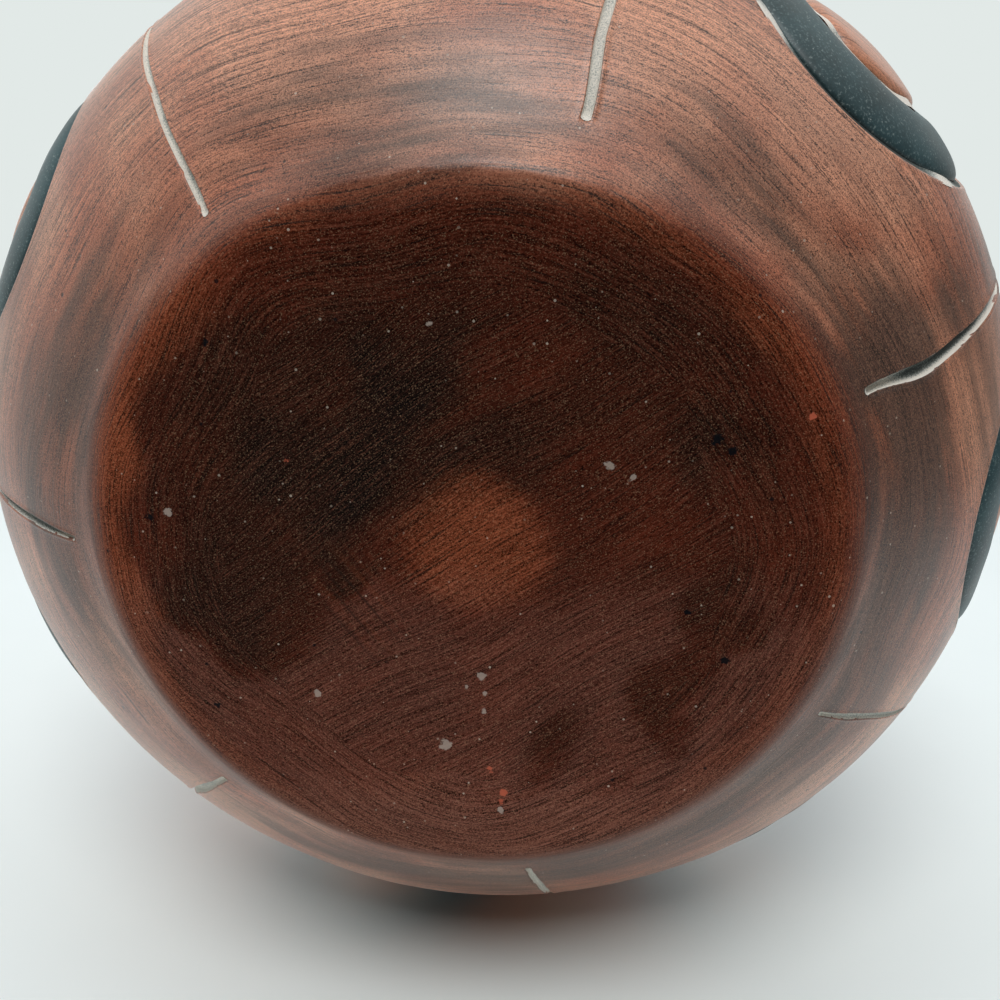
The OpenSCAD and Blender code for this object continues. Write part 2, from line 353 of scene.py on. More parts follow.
def makePiece(name, points, faces, mats, faceMats=None, fields=None):
    mesh = bpy.data.meshes.new(name)
    mesh.from_pydata((np.asarray(points) * mm).tolist(), [], [list(map(int, f)) for f in faces])
    for key, values in (fields or {}).items():
        attribute = mesh.attributes.new(key, "FLOAT", "POINT")
        attribute.data.foreach_set("value", np.asarray(values, np.float32).ravel())
    for m in mats:
        mesh.materials.append(m)
    if faceMats is not None:
        mesh.polygons.foreach_set("material_index", np.asarray(faceMats, np.int32))
    mesh.polygons.foreach_set("use_smooth", np.ones(len(mesh.polygons), bool))
    mesh.update()
    mesh.set_sharp_from_angle(angle=math.radians(58))  # the joint faces turn off square from the skin
    piece = bpy.data.objects.new(name, mesh)
    scene.collection.objects.link(piece)
    return piece


def seat(piece, slotName, *nodes):
    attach(piece, "root")
    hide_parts(*nodes)


def addNode(tree, kind, settings=None, inputs=None, give=0):  # gives back one of the node's outputs
    node = tree.nodes.new("ShaderNode" + kind)
    for key, value in (settings or {}).items():
        if key == "stops":
            ramp = node.color_ramp.elements
            while len(ramp) < len(value):
                ramp.new(0.5)
            for element, (place, colour) in zip(ramp, value):
                element.position = place
                element.color = linear(colour)
        else:
            setattr(node, key, value)
    for key, value in (inputs or {}).items():
        if isinstance(value, bpy.types.NodeSocket):
            tree.links.new(value, node.inputs[key])
        else:
            node.inputs[key].default_value = value
    return node.outputs[give] if len(node.outputs) else node


def newMaterial(name):
    material = bpy.data.materials.new(name)
    material.use_nodes = True
    material.node_tree.nodes.clear()
    return material, material.node_tree


brushLook = {  # sizes in mm
    "drift": 55, "swayAround": 24, "swayAcross": 14,  # how broadly and how far the strokes stray
    "girth": 75,  # radius of the pot where a stroke has its full length
    "way": (0.98, -0.18), "ragged": 5,  # the strokes across the base: their way, and the border of their patch
}


def strokeSpace(tree, length, width):
    # brush strokes of a length and width in mm: around the pot, and one way across the middle of the base
    look = brushLook
    wayX, wayY = [a / mm for a in look["way"]]
    place = addNode(tree, "TexCoord", give="Object")
    run, sweep = [addNode(tree, "Attribute", {"attribute_name": key}, give="Fac") for key in ("run", "sweep")]
    drift = addNode(tree, "TexNoise", None, {"Vector": place, "Scale": 1000 / look["drift"], "Detail": 1})
    flat = addNode(tree, "VectorMath", {"operation": "MULTIPLY"}, {0: place, 1: (1, 1, 0)})
    unit = addNode(tree, "VectorMath", {"operation": "NORMALIZE"}, {0: flat})
    turned = addNode(tree, "VectorMath", {"operation": "SCALE"}, {0: unit, "Scale": look["girth"] / length})
    moved = addNode(tree, "Math", {"operation": "MULTIPLY_ADD"}, {0: drift, 1: look["swayAround"], 2: run})
    lift = addNode(tree, "Math", {"operation": "DIVIDE"}, {0: moved, 1: width})
    lift = addNode(tree, "CombineXYZ", None, {"Z": lift})
    around = addNode(tree, "VectorMath", {"operation": "ADD"}, {0: turned, 1: lift})
    along, across = [addNode(tree, "VectorMath", {"operation": "DOT_PRODUCT"}, {0: place, 1: axis}, "Value")
                     for axis in ((wayX / length, wayY / length, 0), (-wayY / width, wayX / width, 0))]
    across = addNode(tree, "Math", {"operation": "MULTIPLY_ADD"},
                     {0: drift, 1: look["swayAcross"] / width, 2: across})
    straight = addNode(tree, "CombineXYZ", None, {"X": along, "Y": across})
    patch = addNode(tree, "TexNoise", None, {"Vector": place, "Scale": 1000 / look["ragged"], "Detail": 2})
    edge = addNode(tree, "Math", {"operation": "ADD"}, {0: patch, 1: sweep})
    isStraight = addNode(tree, "Math", {"operation": "GREATER_THAN"}, {0: edge, 1: 1.0})
    return addNode(tree, "Mix", {"data_type": "VECTOR"}, {0: isStraight, 4: around, 5: straight}, 1)


clayLook = {
    "wallClay": ("#925238", "#a66348", "#c2876a"), "wash": "#45352c", "washMost": 0.85,
    "base": ("#813d24", "#622817", "#4a1c10", "#2e140c", "#130d0b"), "rubbed": "#85442a", "dust": "#6d4a3f",
    "darkHair": "#2c1d17", "sand": "#9c7c60", "grit": "#cdbcab",
    "chipPale": "#b9a89c", "chipRed": "#c4634a", "soot": "#0d0f13",
    # lengths and widths in mm; hair and mottle a little coarser than real
    "broad": (50, 11.0), "stroke": (19, 2.6), "hair": (14, 0.3), "mottle": (0.8, 0.25),
    "grain": 0.22, "cloud": 24, "ragged": 1.1, "gritCell": 1.7, "pitCell": 8,
    "scrape": (30, 1.1), "scrapeWay": (0.97, -0.24),  # scraper marks across the way of the scraper
    "wallRough": (0.35, 0.46), "baseRough": 0.72, "ior": 1.42, "coat": 0.5, "coatRough": 0.35,
    "shineWall": "#ffffff", "shineBase": "#262626", "fine": (0.05, 2.0), "relief": 0.12,
}
bossLook = dict(clayLook, wallClay=("#c17a5b", "#d08b69", "#dc9b7d"), washMost=0.15, fine=(0.5, 1.45))


def smokeFiredTerracotta(name, look):
    # Red earthenware, brushed with thin brown slip, rubbed with a stone and fired in smoke: fine strokes that
    # run around the pot under a satin shine, and a matt, sandy underside with soft dark clouds, rubbed red here
    # and there.
    material, tree = newMaterial(name)
    place = addNode(tree, "TexCoord", give="Object")
    level = {key: addNode(tree, "Attribute", {"attribute_name": key}, give="Fac")
             for key in ("under", "wash", "smoke", "rub", "dust", "hatch", "chipPale", "chipRed", "soot")}
    (long, wide), (wayX, wayY) = look["scrape"], [a / mm for a in look["scrapeWay"]]
    scrapeAxes = ((wayX / wide, wayY / wide, 0), (-wayY / long, wayX / long, 0))
    x, y = [addNode(tree, "VectorMath", {"operation": "DOT_PRODUCT"}, {0: place, 1: axis}, "Value")
            for axis in scrapeAxes]
    noises = {  # space, scale, detail and roughness
        "broad": (strokeSpace(tree, *look["broad"]), 1, 2, 0.5),
        "stroke": (strokeSpace(tree, *look["stroke"]), 1, 2, 0.55),
        "hair": (strokeSpace(tree, *look["hair"]), 1, 1, 0.6),
        "mottle": (strokeSpace(tree, *look["mottle"]), 1, 1, 0.6),
        "scrape": (addNode(tree, "CombineXYZ", None, {"X": x, "Y": y}), 1, 1, 0.5),
        "grain": (place, 1000 / look["grain"], 1, 0.6),
        "cloud": (place, 1000 / look["cloud"], 3, 0.5),
        "ragged": (place, 1000 / look["ragged"], 3, 0.6)}
    for key, (space, scale, detail, rough) in noises.items():
        level[key] = addNode(tree, "TexNoise", None, {"Vector": space, "Scale": scale, "Detail": detail,
                                                      "Roughness": rough})
    grit, pit = [addNode(tree, "TexVoronoi", None, {"Vector": place, "Scale": 1000 / look[key]}).node
                 for key in ("gritCell", "pitCell")]
    gritPick = addNode(tree, "SeparateColor", None, {0: grit.outputs["Color"]}).node
    level.update(gritAway=grit.outputs["Distance"], pitAway=pit.outputs["Distance"],
                 gritPick=gritPick.outputs[0], gritPale=gritPick.outputs[1])

    # each level: where it starts, the shares of others laid on it, and how it shows: from, to, least, most
    soft, even = "SMOOTHSTEP", "LINEAR"
    levels = {
        "clay": ("cloud", {"wash": -0.45}, None),
        "washed": ("wash", {"broad": 1.0, "stroke": 0.6, "hair": 0.6, "mottle": 0.4}, None),
        "washAndShadingShown": ("washed", {}, (1.05, 1.5, 0, look["washMost"], soft)),
        "wallRough": ("washed", {}, (1.05, 1.65, *look["wallRough"], even)),
        "smoke": ("smoke", {"stroke": 0.5, "hair": 0.3, "grain": 1.0, "cloud": 0.35}, (0.9, 2.1, 0, 1, even)),
        "rub": ("rub", {"stroke": 0.4, "hair": 0.4, "mottle": 0.4}, (0.5, 1.5, 0, 0.9, soft)),
        "dust": ("dust", {"hair": 0.3, "mottle": 0.3}, (0.2, 1.1, 0, 1, soft)),
        "under": ("under", {"stroke": 0.22, "hair": 0.4}, (0.41, 1.21, 0, 1, soft)),
        "coat": ("under", {}, (0, 1, look["coat"], 0, even)),
        "fine": (0.0, {"hair": 0.3, "mottle": 0.25, "grain": 0.45}, (0.37, 0.63, *look["fine"], even)),
        "darkHair": ("hair", {}, (0.4, 0.26, 0, 0.5, soft)),
        "sand": ("grain", {}, (0.58, 0.74, 0, 0.55, soft)),
        "scrapeDark": ("scrape", {}, (0.53, 0.7, 0, 0.7, soft)),
        "scrapeRed": ("scrape", {}, (0.47, 0.34, 0, 0.18, soft)),
        "gritSize": ("gritPick", {}, (0.3, 1, 0, 0.13, even)),
        "gritPale": ("gritPale", {}, (0, 1, 0.15, 0.75, even)),
        "pit": ("pitAway", {}, (0.05, 0.03, 0, 0.85, even)),
        "chipPale": ("chipPale", {"ragged": 1.5}, (1.18, 1.42, 0, 0.7, soft)),
        "chipRed": ("chipRed", {"ragged": 1.5}, (1.18, 1.42, 0, 0.9, soft)),
        "soot": ("soot", {"ragged": 1.5}, (1.18, 1.42, 0, 0.95, soft)),
        "relief": ("hair", {"stroke": 0.8, "mottle": 0.7, "pit": -0.8}, None)}
    for key, (start, shares, span) in levels.items():
        total = level.get(start, start)
        for other, share in shares.items():
            total = addNode(tree, "Math", {"operation": "MULTIPLY_ADD"},
                            {0: level[other], 1: share, 2: total})
        if span:
            low, high, least, most, kind = span
            total = addNode(tree, "MapRange", {"interpolation_type": kind}, {
                "Value": total, "From Min": low, "From Max": high, "To Min": least, "To Max": most})
        level[key] = total
    for key, kind, first, second in (
            ("scrapeDark", "MULTIPLY", "scrapeDark", "hatch"),
            ("scrapeRed", "MULTIPLY", "scrapeRed", "hatch"),
            ("gritOn", "LESS_THAN", "gritAway", "gritSize"),
            ("gritOn", "MULTIPLY", "gritOn", "gritPale")):
        level[key] = addNode(tree, "Math", {"operation": kind}, {0: level[first], 1: level[second]})

    # the colours from the clay up: rosy clay under brown wash and painted shading, red clay under smoke that
    # lies along the strokes
    skin = {key: addNode(tree, "ValToRGB", {"stops": list(zip(stops, look[paint]))}, {0: level[tone]})
            for key, tone, paint, stops in (("wall", "clay", "wallClay", (0.34, 0.5, 0.7)),
                                            ("base", "smoke", "base", (0.05, 0.25, 0.42, 0.65, 0.9)))}
    for key, amount, paint in (
            ("wall", "washAndShadingShown", "wash"), ("base", "rub", "rubbed"), ("base", "dust", "dust")):
        skin[key] = addNode(tree, "Mix", {"data_type": "RGBA"},
                            {0: level[amount], 6: skin[key], 7: linear(look[paint])}, 2)
    colour = addNode(tree, "Mix", {"data_type": "RGBA"},
                     {0: level["under"], 6: skin["wall"], 7: skin["base"]}, 2)
    # bristle marks and mottling lighten and darken every colour alike
    colour = addNode(tree, "VectorMath", {"operation": "SCALE"}, {0: colour, "Scale": level["fine"]})
    for amount, paint in (
            ("darkHair", "darkHair"), ("sand", "sand"), ("scrapeDark", "darkHair"), ("scrapeRed", "rubbed"),
            ("gritOn", "grit"), ("pit", "soot"), ("chipPale", "chipPale"), ("chipRed", "chipRed"),
            ("soot", "soot")):
        colour = addNode(tree, "Mix", {"data_type": "RGBA"},
                         {0: level[amount], 6: colour, 7: linear(look[paint])}, 2)
    # only the burnished wall shines: smoke left the underside dull
    rough = addNode(tree, "Mix", {"data_type": "FLOAT"},
                    {0: level["under"], 2: level["wallRough"], 3: look["baseRough"]})
    shine = addNode(tree, "Mix", {"data_type": "RGBA"}, {
        0: level["under"], 6: linear(look["shineWall"]), 7: linear(look["shineBase"])}, 2)
    bump = addNode(tree, "Bump", None,
                   {"Strength": 0.6, "Distance": look["relief"] * mm, "Height": level["relief"]})
    shader = addNode(tree, "BsdfPrincipled", None, {
        "Base Color": colour, "IOR": look["ior"], "Roughness": rough, "Specular Tint": shine,
        "Coat Weight": level["coat"], "Coat Roughness": look["coatRough"], "Normal": bump})
    addNode(tree, "OutputMaterial", None, {"Surface": shader})
    return material


rawLook = {  # sizes in mm
    "clay": ("#7c4431", "#9c5d45", "#b0755c"), "wipe": (30, 3.0), "grain": 0.8, "rough": 0.82, "relief": 0.3}


def rawTerracotta(look):
    # The inside as the potter's fingers left it: unwashed clay, matt and sandy, with wiping marks around it.
    material, tree = newMaterial("rawTerracotta")
    place = addNode(tree, "TexCoord", give="Object")
    noises = ((strokeSpace(tree, *look["wipe"]), 1, 4), (place, 1000 / look["grain"], 3))
    wipe, grain = [addNode(tree, "TexNoise", None, {
        "Vector": space, "Scale": scale, "Detail": detail, "Roughness": 0.6})
        for space, scale, detail in noises]
    tone = addNode(tree, "Math", {"operation": "MULTIPLY_ADD"}, {0: grain, 1: 0.45, 2: wipe})
    clay = addNode(tree, "ValToRGB", {"stops": list(zip((0.45, 0.7, 0.95), look["clay"]))}, {0: tone})
    bump = addNode(tree, "Bump", None, {"Strength": 0.6, "Distance": look["relief"] * mm, "Height": tone})
    shader = addNode(tree, "BsdfPrincipled", None, {
        "Base Color": clay, "Roughness": look["rough"], "Normal": bump})
    addNode(tree, "OutputMaterial", None, {"Surface": shader})
    return material


slipLook = {  # sizes in mm
    "black": ("#213436", "#2e464a", "#3b575b"), "dust": "#97a29e", "grit": "#b9c0bb",
    "blackRough": (0.4, 0.52), "cloudSize": 14, "dustSize": 0.45, "gritCell": 0.9, "blackRelief": 0.1,
    # the two darkest white colours are painted shade in the bottom of the cuts
    "white": ("#ebe4d8", "#dcd8cd", "#a8aba5", "#646b66", "#3c423f"), "whiteRough": 0.72,
    "patchSize": 4, "grainSize": 0.24, "whiteRelief": 0.15,
}


def blackSlip(look):
    # Black slip brushed on and lightly burnished: blue-black, satin, with a fine bloom of pale dust.
    material, tree = newMaterial("burnishedBlackSlip")
    place = addNode(tree, "TexCoord", give="Object")
    cloud, dust = [addNode(tree, "TexNoise", None, {
        "Vector": place, "Scale": 1000 / look[key], "Detail": detail, "Roughness": rough})
        for key, detail, rough in (("cloudSize", 3, 0.5), ("dustSize", 2, 0.6))]
    tone = addNode(tree, "Math", {"operation": "MULTIPLY_ADD"}, {0: dust, 1: 0.5, 2: cloud})
    colour = addNode(tree, "ValToRGB", {"stops": list(zip((0.55, 0.75, 0.95), look["black"]))}, {0: tone})
    bloom = addNode(tree, "MapRange", {"interpolation_type": "SMOOTHSTEP"},
                    {"Value": dust, "From Min": 0.55, "From Max": 0.75, "To Max": 0.5})
    grit = addNode(tree, "TexVoronoi", None, {"Vector": place, "Scale": 1000 / look["gritCell"]}).node
    gritPick = addNode(tree, "SeparateColor", None, {0: grit.outputs["Color"]})
    gritSize = addNode(tree, "MapRange", None, {"Value": gritPick, "From Min": 0.5, "To Max": 0.15})
    gritOn = addNode(tree, "Math", {"operation": "LESS_THAN"}, {0: grit.outputs["Distance"], 1: gritSize})
    gritOn = addNode(tree, "Math", {"operation": "MULTIPLY"}, {0: gritOn, 1: 0.6})
    for amount, paint in ((bloom, "dust"), (gritOn, "grit")):
        colour = addNode(tree, "Mix", {"data_type": "RGBA"}, {0: amount, 6: colour, 7: linear(look[paint])}, 2)
    smoothest, roughest = look["blackRough"]
    rough = addNode(tree, "MapRange", None, {"Value": tone, "From Min": 0.55, "From Max": 1.0,
                                             "To Min": smoothest, "To Max": roughest})
    bump = addNode(tree, "Bump", None, {"Strength": 0.3, "Distance": look["blackRelief"] * mm, "Height": dust})
    shader = addNode(tree, "BsdfPrincipled", None, {"Base Color": colour, "Roughness": rough, "Normal": bump})
    addNode(tree, "OutputMaterial", None, {"Surface": shader})
    return material


def whiteSlip(look):
    # White slip wiped into the cuts: matt cream at the edges, thin and grey over the bottom of a deep cut, with
    # painted shade laid in there as dark grey.
    material, tree = newMaterial("mattWhiteSlip")
    place = addNode(tree, "TexCoord", give="Object")
    # this field greys the slip where it is thin or worn, and paints shade into the bottom of the cuts
    slipGreyAndShade = addNode(tree, "Attribute", {"attribute_name": "thin"}, give="Fac")
    patch, grain = [addNode(tree, "TexNoise", None, {
        "Vector": place, "Scale": 1000 / look[key], "Detail": detail, "Roughness": rough})
        for key, detail, rough in (("patchSize", 3, 0.55), ("grainSize", 1, 0.6))]
    for source, share in ((patch, 0.22), (grain, 1.1)):
        slipGreyAndShade = addNode(tree, "Math", {"operation": "MULTIPLY_ADD"}, {0: source, 1: share, 2: slipGreyAndShade})
    slipGreyAndShade = addNode(tree, "MapRange", None, {"Value": slipGreyAndShade, "From Min": 0.4, "From Max": 1.5})
    stops = list(zip((0.1, 0.3, 0.5, 0.75, 1.0), look["white"]))
    colour = addNode(tree, "ValToRGB", {"stops": stops}, {0: slipGreyAndShade})
    bump = addNode(tree, "Bump", None, {"Strength": 0.5, "Distance": look["whiteRelief"] * mm, "Height": grain})
    shader = addNode(tree, "BsdfPrincipled", None, {
        "Base Color": colour, "Roughness": look["whiteRough"], "Normal": bump})
    addNode(tree, "OutputMaterial", None, {"Surface": shader})
    return material


wallClay = smokeFiredTerracotta("smokeFiredTerracotta", clayLook)
bossClay = smokeFiredTerracotta("polishedTerracotta", bossLook)
rawClay, bandSlip, lineSlip = rawTerracotta(rawLook), blackSlip(slipLook), whiteSlip(slipLook)
print("materials mixed")


# the courses of the wall, with close columns on each side of a line
stripHalf = 2.6  # degrees on each side of a line that get close columns
stripSide = np.array([0, .04, .08, .12, .16, .2, .24, .28, .33, .4, .5, .64, .8, 1])
stripAt = np.r_[-stripSide[:0:-1], stripSide]
cellCount = 84
cellAt = np.linspace(0, 1, cellCount + 1)


def cellTurn(i, share, run):  # a column between line i and the next one, by its share of the way
    left = i * step + stripHalf + lean(i, run)
    right = (i + 1) * step - stripHalf + lean((i + 1) % carving["count"], run)
    return left + (right - left) * share


def columnsAt(run):  # the turn of every column at each run: rows by columns, the columns following the lines
    run = np.asarray(run, float)[:, None]
    parts = []
    for i in range(carving["count"]):
        parts.append(i * step + stripHalf * stripAt + lean(i, run))
        parts.append(cellTurn(i, cellAt[1:-1], run))
    return np.concatenate(parts, axis=1)


def rowsFrom(a, b, size):
    return np.linspace(a, b, max(2, int(abs(b - a) / size) + 1))


def courseMesh(name, node, outer, inner):  # a closed ring of clay between two joints
    runs = np.r_[outer, inner]
    turns = columnsAt(np.r_[outer, np.interp(inner, [inner[-1], inner[0]], [outer[0], outer[-1]])])
    points = np.concatenate([outerClay(turns[:len(outer)], outer[:, None]),
                             clayAt(turns[len(outer):], inner[:, None], 0.0)])
    faces = gridFaces(len(runs), turns.shape[1], closeRows=True)
    which = np.repeat(np.r_[np.zeros(len(outer) - 1), np.ones(len(runs) - len(outer) + 1)], turns.shape[1])
    fields = {"run": np.broadcast_to(runs[:, None], turns.shape), "under": underAt(turns, runs[:, None]),
              "wash": washAndShadingAt(turns, runs[:, None])}
    piece = makePiece(name, points.reshape(-1, 3), faces, [wallClay, rawClay], which, fields)
    seat(piece, "terracotta", node)
    print(name, len(faces), "faces")


courses = (  # outer and inner runs with the size of their rows in mm
    ("lowerWallClay", "lower_wall", (footRun, lowRun, 0.6), (lowRunIn, footRunIn, 4)),
    ("shoulderWallClay", "shoulder_wall", (shoulderRun, neckRun, 0.85), (neckRunIn, shoulderRunIn, 5)),
    ("neckCollarClay", "neck_collar", (neckRun, lipRun, 0.8), (lipRunIn, neckRunIn, 0.9)))
for name, node, outer, inner in courses:
    courseMesh(name, node, rowsFrom(*outer), rowsFrom(*inner))

bellyRings = {
    # mm in from the lip
    "bed": (carving["medallionR"], 21, 14, 8, 4, 1.7, 1.3, 1.0, 0.8, 0.65, 0.5, 0.35, 0.2, 0.05),
    "lip": (0, 0.1, 0.22, 0.35, 0.52, 0.74, 1), "lipWide": 1.15,  # shares of a width in mm out from the lip
    "field": 21,  # rings from there to the sides of the cell
}


def bellyCell(i, rows):  # between two lines: rings that open from the medallion to the cell's four sides
    edge = np.concatenate([
        np.stack([cellTurn(i, cellAt[:-1], lowRun), np.full(cellCount, lowRun)], 1),
        np.stack([cellTurn(i, 1, rows[:-1]), rows[:-1]], 1),
        np.stack([cellTurn(i, cellAt[:0:-1], shoulderRun), np.full(cellCount, shoulderRun)], 1),
        np.stack([cellTurn(i, 0, rows[:0:-1]), rows[:0:-1]], 1)])
    across, up = toDisc(edge[:, 0], edge[:, 1], i)
    phi = np.arctan2(up, across)
    shape = discShape(i, phi)
    lip = carving["medallionR"] * shape
    rings = []
    for inward in bellyRings["bed"]:
        away = carving["medallionR"] - inward
        rings.append(np.stack(fromDisc(away * shape * np.cos(phi), away * shape * np.sin(phi), i), 1))
    circle = np.stack(fromDisc(lip * np.cos(phi), lip * np.sin(phi), i), 1)
    length = np.hypot(across, up) - lip
    close = np.minimum(bellyRings["lipWide"], length * 0.6)  # the rings on the lip crowd where the side is near
    for share in bellyRings["lip"]:
        rings.append(circle + (edge - circle) * (share * close / length)[:, None])
    for share in np.linspace(0, 1, bellyRings["field"])[1:]:
        rings.append(circle + (edge - circle) * ((close + (length - close) * share) / length)[:, None])
    return np.array(rings)


def bellyMesh():
    rows = rowsFrom(lowRun, shoulderRun, 0.8)
    places, quads, count = [], [], 0
    for i in range(carving["count"]):
        strip = i * step + stripHalf * stripAt + lean(i, rows)[:, None]
        strip = np.stack(np.broadcast_arrays(strip, rows[:, None]), axis=-1)
        cell = bellyCell(i, rows)
        for grid, faces in ((strip, gridFaces(*strip.shape[:2], closeCols=False)),
                            (cell, gridFaces(*cell.shape[:2])[:, ::-1])):
            places.append(grid.reshape(-1, 2))
            quads.append(faces + count)
            count += len(places[-1])
    places = np.concatenate(places)
    quads = np.concatenate(quads)
    points = outerClay(places[:, 0], places[:, 1])
    # join the points that strips and cells share
    _, first, again = np.unique(np.round(points + 0.000317, 3), axis=0, return_index=True, return_inverse=True)
    quads = again.ravel()[quads]
    points, runs, wash = points[first], places[first, 1], washAndShadingAt(*places[first].T)
    shrunk = [[q for k, q in enumerate(f) if q != f[k - 1]] for f in quads.tolist()]
    outerFaces = [f for f in shrunk if len(f) > 2]
    # the inside, and the two joint faces
    inner = rowsFrom(shoulderRunIn, lowRunIn, 4)
    turns = columnsAt(np.interp(inner, [inner[-1], inner[0]], [lowRun, shoulderRun]))
    cols = turns.shape[1]
    edgeRuns = np.array([shoulderRun, lowRun])
    edgePoints = outerClay(columnsAt(edgeRuns), edgeRuns[:, None])
    grid = np.concatenate([edgePoints[:1], clayAt(turns, inner[:, None], 0.0), edgePoints[1:]])
    inFaces = gridFaces(len(grid), cols, start=len(points))
    runs = np.r_[runs, np.repeat(np.r_[shoulderRun, inner, lowRun], cols)]
    wash = np.r_[wash, np.zeros(len(runs) - len(wash))]
    faces = outerFaces + inFaces.tolist()
    points = np.concatenate([points, grid.reshape(-1, 3)])
    which = np.r_[np.zeros(len(outerFaces)), np.ones(len(inFaces))]
    piece = makePiece("bellyWallClay", points, faces, [wallClay, rawClay], which, {"run": runs, "wash": wash})
    seat(piece, "terracotta", "belly_wall")
    print("bellyWallClay", len(faces), "faces")


bellyMesh()


# rows in mm, columns in degrees
rimLook = {"row": 0.55, "column": 0.75, "sink": 0.4, "uneven": 0.8, "dents": 0.05, "swell": 0.06}


def rimMesh(look):
    runs = rowsFrom(lipRun - look["sink"], lipRunIn + look["sink"], look["row"])
    turns = np.arange(0, 360, look["column"])
    height = handForm(turns[None, :], np.full((1, 1), lipRun)) * look["uneven"]
    height = height + look["dents"] * ripple(5, 24, runs)[:, None] + look["swell"]
    points = clayAt(turns[None, :], runs[:, None], height)
    piece = makePiece("rimRollClay", points.reshape(-1, 3), gridFaces(len(runs), len(turns)), [wallClay], None,
                      {"run": np.repeat(runs, len(turns))})
    seat(piece, "terracotta", "rim_roll")
    print("rimRollClay shaped")


rimMesh(rimLook)


baseMarks = {
    # dark smoke: x, y, half length, half width, turn in degrees, strength, softness in mm
    "smoke": [(-35, -12, 16, 10, 95, 0.38, 7), (-40, -7, 12, 8, 110, 0.4, 4), (-8, -36, 24, 9, 2, 0.38, 10),
              (-13, -17, 14, 8, 140, 0.72, 7), (6, -33, 9, 6, 10, 0.42, 7), (32, 23, 9, 5, 135, 0.28, 6),
              (21, 35, 12, 6, 129, 0.2, 7), (41, -3, 8, 5, 80, 0.3, 6), (40, -22, 14, 9, 60, 0.24, 9),
              (-2, -27, 13, 6, 144, 0.7, 7), (-21, -25, 13, 8, 160, 0.54, 8), (4, -13, 17, 6, 172, 0.42, 7)],
    "smokeLevel": 0.34,
    "clearWay": (-0.375, 0.927),  # towards the side where the underside grows lighter and greyer
    "clearing": ((0, 15, 0.1, 0.26), (36, 50, 0.3, 0.2)),  # from and to in mm that way, less smoke, more dust
    "spot": (1.2, -0.4, 11.6, 0.62),  # rubbed red middle: x, y, radius, strength
    "worn": 0.46, "wornAt": ((0.54, 203, 48), (-0.1, 292, 40)),  # rubbed foot: share, more or less by turn
    "ring": (51, 56, 60, 62.5),  # radii between which the foot's rubbed ring comes and goes
    "sweep": (36, 46),  # radii where straight brush strokes give way to round ones
    "rows": (0.62, 0.42, 2.2), "footWide": 12,  # rows under the base, at its foot and inside; width of the foot
    "scraped": (-20, 2, 6, 10),  # scraper marks: x, y, half width, half length
    "chipPale": [(-7.4, 21.3, 0.9), (-17.9, 30.7, 1.3), (-14.2, 45.7, 0.8), (25.4, -5.0, 0.9), (9, -35, 0.6),
                 (-41, -24, 0.9), (-34, 14, 0.8), (-8, 24.5, 0.6), (-9.5, 27.5, 0.6), (28, -2, 0.6),
                 (-10.4, 22.4, 0.5)],  # x, y, radius, here and below
    "chipRed": [(-12.8, 37.9, 0.7), (-12.4, 42.8, 0.9), (-13.3, 44.2, 0.6), (-20.1, -24.3, 0.6),
                (55.3, -1.7, 0.7)],
    "soot": [(30.8, 32.0, 0.9), (41.6, -3.1, 1.1), (43.0, -0.8, 0.8), (-22.3, -45.2, 0.6), (-44.2, -24.6, 0.9),
             (-50.5, 9.5, 0.6), (28, 22, 0.6)],
    "dents": {"chipPale": 0.16, "chipRed": 0.22, "soot": 0.3},  # depth in mm
}


def smokedBase(turns, x, y, r):  # the fields that colour the underside: smoke, rubbing, dust and brush strokes
    wavy, wavyAlso = [2.0 * ripple(seed, size, x, y) + 0.4 * ripple(seed + 1, fine, x, y)
                      for seed, size, fine in ((11, 21, 6), (13, 23, 7))]
    down = baseMarks["clearWay"][0] * x + baseMarks["clearWay"][1] * y + wavy
    level, dust = baseMarks["smokeLevel"], 0
    for low, high, less, more in baseMarks["clearing"]:
        level = level - less * smooth(low, high, down)
        dust = dust + more * smooth(low, high, down)
    smoke = level + 0.08 * ripple(15, 26, x, y)
    for cx, cy, a, b, turn, strength, soft in baseMarks["smoke"]:
        t = math.radians(turn)
        dx, dy = x + wavy - cx, y + wavyAlso - cy
        along, across = dx * math.cos(t) + dy * math.sin(t), dy * math.cos(t) - dx * math.sin(t)
        inside = 1 - np.sqrt((along / a) ** 2 + (across / b) ** 2)
        depth = baseMarks["smokeLevel"] + strength - level
        smoke = np.maximum(smoke, level + depth * smooth(-soft / min(a, b), soft / min(a, b), inside))
    cx, cy, size, strength = baseMarks["spot"]
    spot = hump(np.hypot(x + 0.3 * wavy - cx, y + 0.3 * wavyAlso - cy), size, 6)
    edge = r + 0.5 * wavy
    worn = baseMarks["worn"]
    for share, turn, wide in baseMarks["wornAt"]:
        worn = worn + share * nearTurn(turns, turn, wide)
    ringIn, ringFull, ringLast, ringOut = baseMarks["ring"]
    ring = worn * smooth(ringIn, ringFull, edge) * (1 - smooth(ringLast, ringOut, r))
    rub = np.maximum(strength * spot, 0.72 * ring * (0.9 + 0.25 * ripple(16, 30, x, y)))
    smoke = smoke * (1 - 0.45 * spot) * (1 - 0.75 * worn * smooth(ringIn + 2, ringFull + 1, edge))
    return {"smoke": smoke, "rub": rub, "sweep": 1 - smooth(*baseMarks["sweep"], edge),
            "dust": dust * (1 - smooth(0.09, 0.24, smoke - level))}


